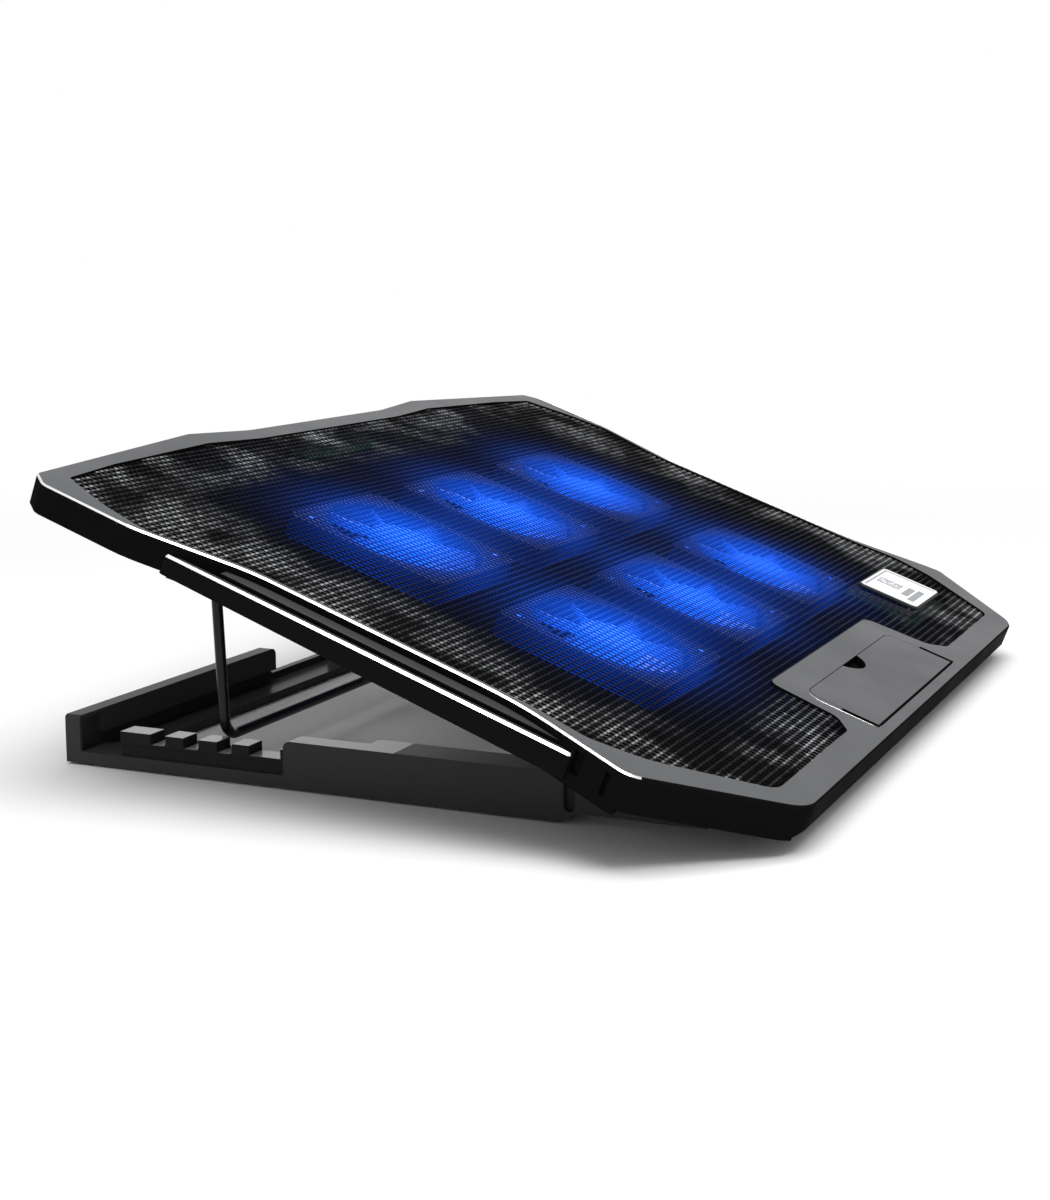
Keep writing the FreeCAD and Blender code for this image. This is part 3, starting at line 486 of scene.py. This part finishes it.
def bars(along, top):
    """All bars of one family, for each span of the outline on its level.

    The profile is a half ellipse, (cos t * width / 2, sin t * height / 2), on a flat base,
    and each of its points runs straight from the span's start to its end.
    """
    across = 1 - along
    low, high = edge[..., across].min(), edge[..., across].max()
    levels = np.arange(math.ceil(low / PITCH) * PITCH + LEVEL_SHIFT, high, PITCH)
    runs = [(level, a, b) for level in levels for a, b in spans(edge, along, level)
            if b - a > 1.0]
    runs = np.array(runs)
    angle = np.linspace(0, math.pi, 5)
    side = np.concatenate([np.cos(angle), [-1.0, 1.0]]) * BAR_WIDTH / 2
    lift = np.concatenate([np.sin(angle) * BAR_HEIGHT / 2, [-BAR_HEIGHT / 2] * 2])
    n = len(side)
    ends = runs[:, None, 1:3] * np.ones((1, n, 1))
    cross = runs[:, :1, None] + side[None, :, None] * np.ones((1, 1, 2))
    height = top - BAR_HEIGHT / 2 + lift[None, :, None] * np.ones((len(runs), 1, 2))
    x, v = (ends, cross) if along == 0 else (cross, ends)
    points = on_deck(x, v, height).transpose(0, 2, 1, 3).reshape(-1, 3)
    k = np.arange(n)
    wall = np.stack([k, (k + 1) % n, n + (k + 1) % n, n + k], axis=1)
    if along == 0:
        wall = wall[:, ::-1]
    faces = (np.arange(len(runs))[:, None, None] * 2 * n + wall).reshape(-1, 4)
    return points, faces, len(runs)


for along, name, drop in ((0, "mesh_bars_across", 0.0), (1, "mesh_bars_along", FAMILY_DROP)):
    points, faces, count = bars(along, sheet_top - drop)
    family = piece(name, points, faces, wire_enamel, "deck", smooth=True)
    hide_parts("mesh_panel")
    family.visible_diffuse = False
    print(name, count, "bars,", len(faces) * 2, "triangles")

# %% [markdown]
# ## Glints on the mesh
# Between two crossings a bar catches the light as a short pale dash.  The dashes run along
# the border of the mesh and fade towards the lit fans.  Real glints would need tiny facets.
# Here a slow noise and one random number for each 3 mm cell set how pale a dash is.  The
# blue light on the bars is dashed the same way.

# %% Where a glint lies
GLINT_HALF_X = 0.199    # metres: the rectangle along which the glints lie
GLINT_MIDDLE_V = 0.146
GLINT_HALF_V = 0.134
BORDER = (0.74, 0.96)   # shares of its half sizes where glints start and are full
PATCH = 0.03            # metres from one patch of glints to the next
DASH = 0.36             # half a dash, as a share of the pitch


def glint_mask(tree):
    """How pale each point of the bars is, and whether it lies between two crossings.

    A cell is the whole part of (x / pitch, v / pitch + 1/2).  A point lies between two
    crossings where the fraction of x / pitch is within `DASH` of 1/2.
    """
    coords = add_node(tree, "ShaderNodeTexCoord").outputs["Object"]
    x = add_node(tree, "ShaderNodeSeparateXYZ", {0: coords}).outputs["X"]
    slope = add_node(tree, "ShaderNodeVectorMath", {0: coords}, operation="DOT_PRODUCT")
    slope.inputs[1].default_value = tuple(back)
    v = add_node(tree, "ShaderNodeMath", {0: slope.outputs["Value"]}, operation="SUBTRACT",
                 _1=float(top_origin @ back)).outputs[0]

    column = add_node(tree, "ShaderNodeMath", {0: x}, operation="DIVIDE", _1=PITCH * MM)
    rows = add_node(tree, "ShaderNodeMath", {0: v}, operation="DIVIDE", _1=PITCH * MM)
    row = add_node(tree, "ShaderNodeMath", {0: rows.outputs[0]}, operation="ADD", _1=0.5)
    place = add_node(tree, "ShaderNodeCombineXYZ", {"X": column.outputs[0],
                                                    "Y": row.outputs[0]})
    cell = add_node(tree, "ShaderNodeVectorMath", {0: place.outputs[0]}, operation="FLOOR")
    chance = add_node(tree, "ShaderNodeTexWhiteNoise", {"Vector": cell.outputs[0]})
    uneven = add_node(tree, "ShaderNodeMapRange", {"Value": chance.outputs["Value"]},
                      _3=1.0, _4=0.2)
    fraction = add_node(tree, "ShaderNodeMath", {0: column.outputs[0]}, operation="FRACT")
    between = add_node(tree, "ShaderNodeMath", {0: fraction.outputs[0]}, operation="COMPARE",
                       _1=0.5, _2=DASH)

    size_x = add_node(tree, "ShaderNodeMath", {0: x}, operation="ABSOLUTE")
    wide = add_node(tree, "ShaderNodeMath", {0: size_x.outputs[0]}, operation="DIVIDE",
                    _1=GLINT_HALF_X)
    off_middle = add_node(tree, "ShaderNodeMath", {0: v}, operation="SUBTRACT",
                          _1=GLINT_MIDDLE_V)
    size_v = add_node(tree, "ShaderNodeMath", {0: off_middle.outputs[0]}, operation="ABSOLUTE")
    deep = add_node(tree, "ShaderNodeMath", {0: size_v.outputs[0]}, operation="DIVIDE",
                    _1=GLINT_HALF_V)
    nearest = add_node(tree, "ShaderNodeMath", {0: wide.outputs[0], 1: deep.outputs[0]},
                       operation="MAXIMUM")
    border = add_node(tree, "ShaderNodeMapRange", {"Value": nearest.outputs[0]},
                      interpolation_type="SMOOTHSTEP", _1=BORDER[0], _2=BORDER[1])
    drift = add_node(tree, "ShaderNodeTexNoise", {"Vector": coords}, Scale=1 / PATCH, Detail=1.0)
    patch = add_node(tree, "ShaderNodeMapRange", {"Value": drift.outputs["Fac"]}, _1=0.42,
                     _2=0.62, _3=0.06, _4=1.0)

    glint = border
    for factor in (patch, uneven, between):
        glint = add_node(tree, "ShaderNodeMath", {0: glint.outputs[0], 1: factor.outputs[0]},
                         operation="MULTIPLY")
    return glint.outputs[0], between.outputs[0]


print("glints on a", PITCH, "mm grid")

# %% Paint the glints and dash the light
LIGHT_ON_CROSSING = 0.45
LIGHT_ON_DASH = 1.35
glint, between = glint_mask(wire_tree)
plain = wire_bsdf.inputs["Base Color"].links[0].from_socket
pale = add_node(wire_tree, "ShaderNodeMix", {"Factor": glint, "A": plain}, data_type="RGBA",
                B=linear("#A4A6A8"))
wire_tree.links.new(pale.outputs["Result"], wire_bsdf.inputs["Base Color"])
steady = wire_bsdf.inputs["Emission Strength"].links[0].from_socket
dashed = add_node(wire_tree, "ShaderNodeMapRange", {"Value": between},
                  _3=LIGHT_ON_CROSSING, _4=LIGHT_ON_DASH)
broken = add_node(wire_tree, "ShaderNodeMath", {0: steady, 1: dashed.outputs[0]},
                  operation="MULTIPLY")
wire_tree.links.new(broken.outputs[0], wire_bsdf.inputs["Emission Strength"])
print("nodes in the mesh's enamel", len(wire_tree.nodes))

# %% [markdown]
# ## Bright edges
# The chamfers round the deck and along the side bars catch the light as thin white lines.
# These highlights are painted with bright metal.  The chamfers' faces exist in the CAD
# already, so the piece is a copy of just those faces, lifted by a few hundredths of a
# millimetre and given a skin with Solidify.


# %% Bright edges
LIFT = 0.03             # millimetres above the CAD face
SKIN = 0.06
EDGE_FRONT = 44.0       # the deck's sides carry the painted highlight from this v on
EDGE_X = 198.0          # and at least this far from the middle
EDGE_DEPTH = -0.8       # down to this w


def add_skin(strip, offset):
    """Gives a strip its thickness: `offset` 1 grows it outwards, and 0 to both sides."""
    skin = strip.modifiers.new("skin", "SOLIDIFY")
    skin.thickness = SKIN * MM
    skin.offset = offset


def highlight_strip(name, node, keep):
    """Copies the triangles that pass `keep(normal, centre)`: corner + normal * lift."""
    triangles = node_triangles(node)
    normal = np.cross(triangles[:, 1] - triangles[:, 0], triangles[:, 2] - triangles[:, 0])
    normal /= np.maximum(np.linalg.norm(normal, axis=1, keepdims=True), 1e-9)
    chosen = keep(normal, triangles.mean(axis=1))
    lifted = triangles[chosen] + normal[chosen][:, None] * LIFT
    points = on_deck(lifted[..., 0], lifted[..., 1], lifted[..., 2]).reshape(-1, 3)
    strip = piece(name, points, np.arange(len(points)).reshape(-1, 3), edge_highlight_metal, "deck")
    work = bmesh.new()
    work.from_mesh(strip.data)
    bmesh.ops.remove_doubles(work, verts=work.verts, dist=0.005 * MM)
    work.to_mesh(strip.data)
    work.free()
    add_skin(strip, 1.0)
    print(name, int(chosen.sum()), "triangles")


def slants_outwards(n, side):
    """Chamfer faces: between 26 and 60 degrees from the deck's top, turned to one side."""
    return (n[:, 2] > 0.5) & (n[:, 2] < 0.9) & (n[:, 0] * side > 0.4)


# Painted highlights on the chamfers of the deck and the side bars, on both sides.
for side, word in ((-1, "left"), (1, "right")):
    highlight_strip("deck_edge_highlight_" + word, "bezel",
                 lambda n, c: slants_outwards(n, side) & (c[:, 1] > EDGE_FRONT)
                 & (np.abs(c[:, 0]) > EDGE_X) & (c[:, 2] > EDGE_DEPTH))
    highlight_strip("bar_edge_highlight_" + word, "side_bar_" + word,
                 lambda n, c: slants_outwards(n, side))

# %% [markdown]
# ## A highlight on the rim of the flap's pocket
# The left rim of the pocket that the flap lies in is rounded and catches the light as a
# thin white arc.  This highlight is painted as a ribbon of bright metal, just outside the
# slot for the flap's pin: its middle line runs up the rim and round the corner, and its
# width swells and fades with the sine of the distance along it.


# %% A highlight on the rim of the flap's pocket
RIM_WIDTH = 0.55
RIM_GAP = 3.35          # from the flap's side, which clears the slot
RIM_RADIUS = 8.0
RIM_TURN = 0.3 * math.pi    # how far the ribbon follows the corner
RIM_FRONT = 1.5         # behind the flap's front edge
RIM_REAR = 0.4          # from the flap's rear edge to the pocket's


def rim_ribbon(steps=48):
    """Middle line (x, v): straight up to the corner, then an arc, by arc length t."""
    flap = node_triangles("flap").reshape(-1, 3)
    left = flap[flap[:, 2] > -0.5, 0].min() - RIM_GAP
    front = flap[:, 1].min() + RIM_FRONT
    straight = flap[:, 1].max() + RIM_REAR - RIM_RADIUS - front
    t = np.linspace(0.0, straight + RIM_TURN * RIM_RADIUS, steps)
    turn = np.maximum(t - straight, 0.0) / RIM_RADIUS
    x = left + RIM_RADIUS * (1 - np.cos(turn))
    v = front + np.minimum(t, straight) + RIM_RADIUS * np.sin(turn)
    outwards = np.stack([-np.cos(turn), np.sin(turn)], axis=1)
    width = RIM_WIDTH * np.sqrt(np.sin(math.pi * np.linspace(0.03, 0.97, steps)))
    middle = np.stack([x, v], axis=1)
    return np.stack([middle, middle + outwards * width[:, None]])


ribbon = rim_ribbon()
steps = ribbon.shape[1]
k = np.arange(steps - 1)
rim_faces = np.stack([k, k + 1, steps + k + 1, steps + k], axis=1)
rim = piece("pocket_rim_highlight", on_deck(ribbon[..., 0], ribbon[..., 1], 0.02), rim_faces,
            edge_highlight_metal, "deck", smooth=True)
add_skin(rim, 0.0)
print("rim of", np.round(np.ptp(ribbon[0], axis=0), 1), "mm")

# %% [markdown]
# ## The display's gasket
# A soft black gasket closes the gap between the display and the edge of the mesh, and
# hides the cut ends of the bars.  It could be a bevelled curve, but a profile carried round
# a rounded rectangle keeps its inner wall upright and its corners round.


# %% The display's gasket
PROFILE = np.array([(0.0, -1.2), (0.0, 0.15), (0.45, 0.2), (0.8, 0.05), (0.9, -0.2),
                    (0.9, -1.2)])
CORNER_RADIUS = 2.5


def rounded_rectangle(half, radius, steps=9):
    """Points (x, v): a corner's centre plus radius times (cos t, sin t), four corners round."""
    turn = np.linspace(0, 0.5 * math.pi, steps) + 0.5 * math.pi * np.arange(4)[:, None]
    signs = np.array([(1, 1), (-1, 1), (-1, -1), (1, -1)])[:, None]
    round_part = radius * np.stack([np.cos(turn), np.sin(turn)], axis=-1)
    return (signs * (half - radius) + round_part).reshape(-1, 2)


display = node_triangles("display_frame").reshape(-1, 3)
display_middle = (display.min(axis=0) + display.max(axis=0))[:2] / 2
display_half = np.ptp(display, axis=0)[:2] / 2
rings = np.array([display_middle + rounded_rectangle(display_half + grow, CORNER_RADIUS + grow)
                  for grow in PROFILE[:, 0]])
levels = np.broadcast_to(PROFILE[:, 1, None], rings.shape[:2])
ring_count, ring_points = rings.shape[:2]
k, s = np.meshgrid(np.arange(ring_count), np.arange(ring_points), indexing="ij")
k_next, s_next = (k + 1) % ring_count, (s + 1) % ring_points
gasket_faces = np.stack([k * ring_points + s, k_next * ring_points + s,
                         k_next * ring_points + s_next, k * ring_points + s_next],
                        axis=-1).reshape(-1, 4)
piece("display_gasket", on_deck(rings[..., 0], rings[..., 1], levels), gasket_faces, rubber,
      "deck", smooth=True)
print("gasket round a display of", np.round(2 * display_half, 1), "mm")

# %% [markdown]
# ## Digits on the display
# The display shows three figures in a thin outline, two bars for the fan speed and a fine
# line along its rear edge.  A figure of seven straight segments is a set of small plates,
# so one list of plates makes the whole drawing.  The figures read from the pad's left side.


# %% Digits on the display
SEGMENTS = {"a": (0, 1, 1, 1), "b": (1, 0.5, 1, 1), "c": (1, 0, 1, 0.5), "d": (0, 0, 1, 0),
            "e": (0, 0, 0, 0.5), "f": (0, 0.5, 0, 1), "g": (0, 0.5, 1, 0.5)}
FIGURES = {"2": "abged", "6": "afedcg", "8": "abcdefg"}
FIGURE_HEIGHT, FIGURE_WIDTH, FIGURE_STEP = 5.6, 2.2, 3.1
FIGURE_X, FIGURE_V = -3.2, 9.2
STROKE_X, STROKE_V = 0.42, 0.24     # half a stroke's width
REACH_X, REACH_V = 2.2, 0.9         # and what a segment of full length adds to it
LINE_X, LINE_V = 0.5, 0.35          # the same half for the outline
OUTLINE_X, OUTLINE_V = (-4.9, 4.1), (-0.2, 10.2)
BLOCKS_AND_LINE = [(-2.1, -4.7, 8.6, 1.7), (-3.7, -9.0, 12.2, 1.6), (0.0, 12.15, 19.4, 0.22)]
INK_HEIGHT = 0.1


def plates():
    """Centre (x, v) and half sizes of each plate, in millimetres from the display's middle.

    A segment from (a, b) to (c, d), in shares of a figure's width and height, has its
    centre half way, and its half size is half a stroke plus the reach times its length.
    """
    rows = []
    for k, figure in enumerate("268"):
        for name in FIGURES[figure]:
            a, b, c, d = SEGMENTS[name]
            u = 0.5 * (a + c) * FIGURE_WIDTH
            h = 0.5 * (b + d) * FIGURE_HEIGHT
            rows.append((h + FIGURE_X, FIGURE_V - k * FIGURE_STEP - u,
                         STROKE_X + abs(d - b) * REACH_X, STROKE_V + abs(c - a) * REACH_V))
    (x0, x1), (v0, v1) = OUTLINE_X, OUTLINE_V
    for x in (x0, x1):
        rows.append((x, (v0 + v1) / 2, LINE_X, (v1 - v0) / 2 + LINE_V))
    for v in (v0, v1):
        rows.append(((x0 + x1) / 2, v, (x1 - x0) / 2, LINE_V))
    return np.array(rows + BLOCKS_AND_LINE)


drawing = plates()
signs = np.array([(-1, -1), (1, -1), (1, 1), (-1, 1)])
lens_top = node_triangles("display_glass")[..., 2].max()
flat_xy = display_middle + drawing[:, None, :2] + signs[None] * drawing[:, None, 2:]
both_levels = np.stack([on_deck(flat_xy[..., 0], flat_xy[..., 1], lens_top + w)
                        for w in (0.0, INK_HEIGHT)], axis=1)
plate_faces = np.array([(3, 2, 1, 0), (4, 5, 6, 7), (0, 1, 5, 4), (1, 2, 6, 5), (2, 3, 7, 6),
                        (3, 0, 4, 7)])
digit_faces = (np.arange(len(drawing))[:, None, None] * 8 + plate_faces).reshape(-1, 4)
piece("display_digits", both_levels.reshape(-1, 3), digit_faces, ink, "deck")
print("display plates", len(drawing))

# %% [markdown]
# ## Finishes for the CAD parts
# Every remaining CAD part keeps its shape and takes a finish from the list above.  The
# glow of the fans is a stand-in for lamps that are hardly seen from outside, so it doesn't
# light the table.

# %% Finishes for the CAD parts
finishes = {
    "base_frame": base_abs_with_painted_reflection, "rack_": rack_acetal_with_painted_reflection, "base_pads": rubber, "hinge_pin": steel,
    "bezel": bezel_abs, "lower_housing": shell_abs, "side_bar": bar_abs,
    "display_frame": display_abs_with_shaded_sides, "display_glass": display_lens, "display_cell": ink,
    "control_board": board, "rear_board": board, "usb_socket": steel, "_screws": steel,
    "fan_leds": lamp_epoxy, "fan_frame": fan_pbt, "rotor_": rotor_pc, "speed_dial": shell_abs,
    "flap": flap_abs, "prop_wire": prop_enamel, "mesh_panel": wire_enamel}
for name, obj in frame["nodes"].items():
    chosen = [finishes[key] for key in finishes if key in name]
    obj.data.materials.clear()
    obj.data.materials.append(chosen[0])
    if "rotor_" in name or "fan_" in name:
        obj.visible_diffuse = False
print("finished", len(frame["nodes"]), "CAD parts")

# %% [markdown]
# ## The floor
# The pad stands on white paper that runs on beyond the view.  Away from the pad the floor
# turns into plain white towards the camera, so that only the soft shadow round the pad
# stays.  More light would whiten the floor too, but it would wash out the pad.

# %% The floor
FLOOR_HALF = 6.0
FLOOR_Z = -0.0002
FADE = (0.3, 0.9)       # metres from the pad's middle, from true floor to plain white
corners = [(sx * FLOOR_HALF, sy * FLOOR_HALF, FLOOR_Z)
           for sx, sy in ((-1, -1), (1, -1), (1, 1), (-1, 1))]
floor_mesh = bpy.data.meshes.new("floor")
floor_mesh.from_pydata(corners, [], [(0, 1, 2, 3)])
floor = bpy.data.objects.new("floor", floor_mesh)
bpy.context.scene.collection.objects.link(floor)
floor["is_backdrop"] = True
floor_paper, floor_tree, floor_bsdf = new_material("white_matt_paper", Roughness=0.9,
                                                   Base_Color=linear("#F4F4F4"))
seen = add_node(floor_tree, "ShaderNodeLightPath")
spot = add_node(floor_tree, "ShaderNodeTexCoord")
away = add_node(floor_tree, "ShaderNodeVectorMath", {0: spot.outputs["Object"]},
                operation="LENGTH")
fade = add_node(floor_tree, "ShaderNodeMapRange", {"Value": away.outputs["Value"]},
                interpolation_type="SMOOTHSTEP", _1=FADE[0], _2=FADE[1])
whitened = add_node(floor_tree, "ShaderNodeMath", {0: seen.outputs["Is Camera Ray"],
                                                   1: fade.outputs[0]}, operation="MULTIPLY")
white = add_node(floor_tree, "ShaderNodeEmission", Color=(1, 1, 1, 1), Strength=1.0)
blend = add_node(floor_tree, "ShaderNodeMixShader", {0: whitened.outputs[0],
                                                     1: floor_bsdf.outputs[0],
                                                     2: white.outputs[0]})
floor_tree.links.new(blend.outputs[0], floor_tree.nodes["Material Output"].inputs["Surface"])
floor_mesh.materials.append(floor_paper)
print("floor", 2 * FLOOR_HALF, "m wide")

# %% [markdown]
# ## Light
# A white world lights the pad evenly and gives the gloss plastics their pale reflections at
# a low angle.  It is dimmer for light that falls on the pad than for what is seen directly
# or in a reflection.  One broad lamp above the left front lifts the tops.

# %% The world
WORLD_LEVEL = 0.55
world = bpy.data.worlds.new("white_studio")
world.use_nodes = True
world_tree = world.node_tree
world_tree.nodes.clear()
path = add_node(world_tree, "ShaderNodeLightPath")
camera_or_gloss = add_node(world_tree, "ShaderNodeMath",
                           {0: path.outputs["Is Camera Ray"], 1: path.outputs["Is Glossy Ray"]},
                           operation="MAXIMUM")
seen_white = add_node(world_tree, "ShaderNodeMath",
                      {0: camera_or_gloss.outputs[0], 1: path.outputs["Is Transmission Ray"]},
                      operation="MAXIMUM")
strength = add_node(world_tree, "ShaderNodeMapRange", {"Value": seen_white.outputs[0]},
                    _3=WORLD_LEVEL, _4=1.0)
sky = add_node(world_tree, "ShaderNodeBackground", {"Strength": strength.outputs[0]},
               Color=(1, 1, 1, 1))
add_node(world_tree, "ShaderNodeOutputWorld", {"Surface": sky.outputs[0]})
bpy.context.scene.world = world
print("world at", WORLD_LEVEL, "on the pad")


# %% The lamp
def area_lamp(name, place, target, size, power):
    """A square soft light at `place`, turned towards `target`, in metres and watts."""
    data = bpy.data.lights.new(name, "AREA")
    data.size, data.energy = size, power
    lamp = bpy.data.objects.new(name, data)
    bpy.context.scene.collection.objects.link(lamp)
    lamp.location = place
    lamp.rotation_euler = (Vector(target) - Vector(place)).to_track_quat("-Z", "Y").to_euler()
    return lamp


top_lamp = area_lamp("broad_top_lamp", place=(-0.32, -0.33, 1.55), target=(0, 0, 0),
                     size=1.3, power=24.0)
print("lamp of", top_lamp.data.energy, "W at", [round(c, 2) for c in top_lamp.location])

# %% Sizes
new_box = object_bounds()
change = np.abs(np.subtract(new_box, cad_box)).max() / MM
print("box differs by at most", round(float(change), 3), "mm")
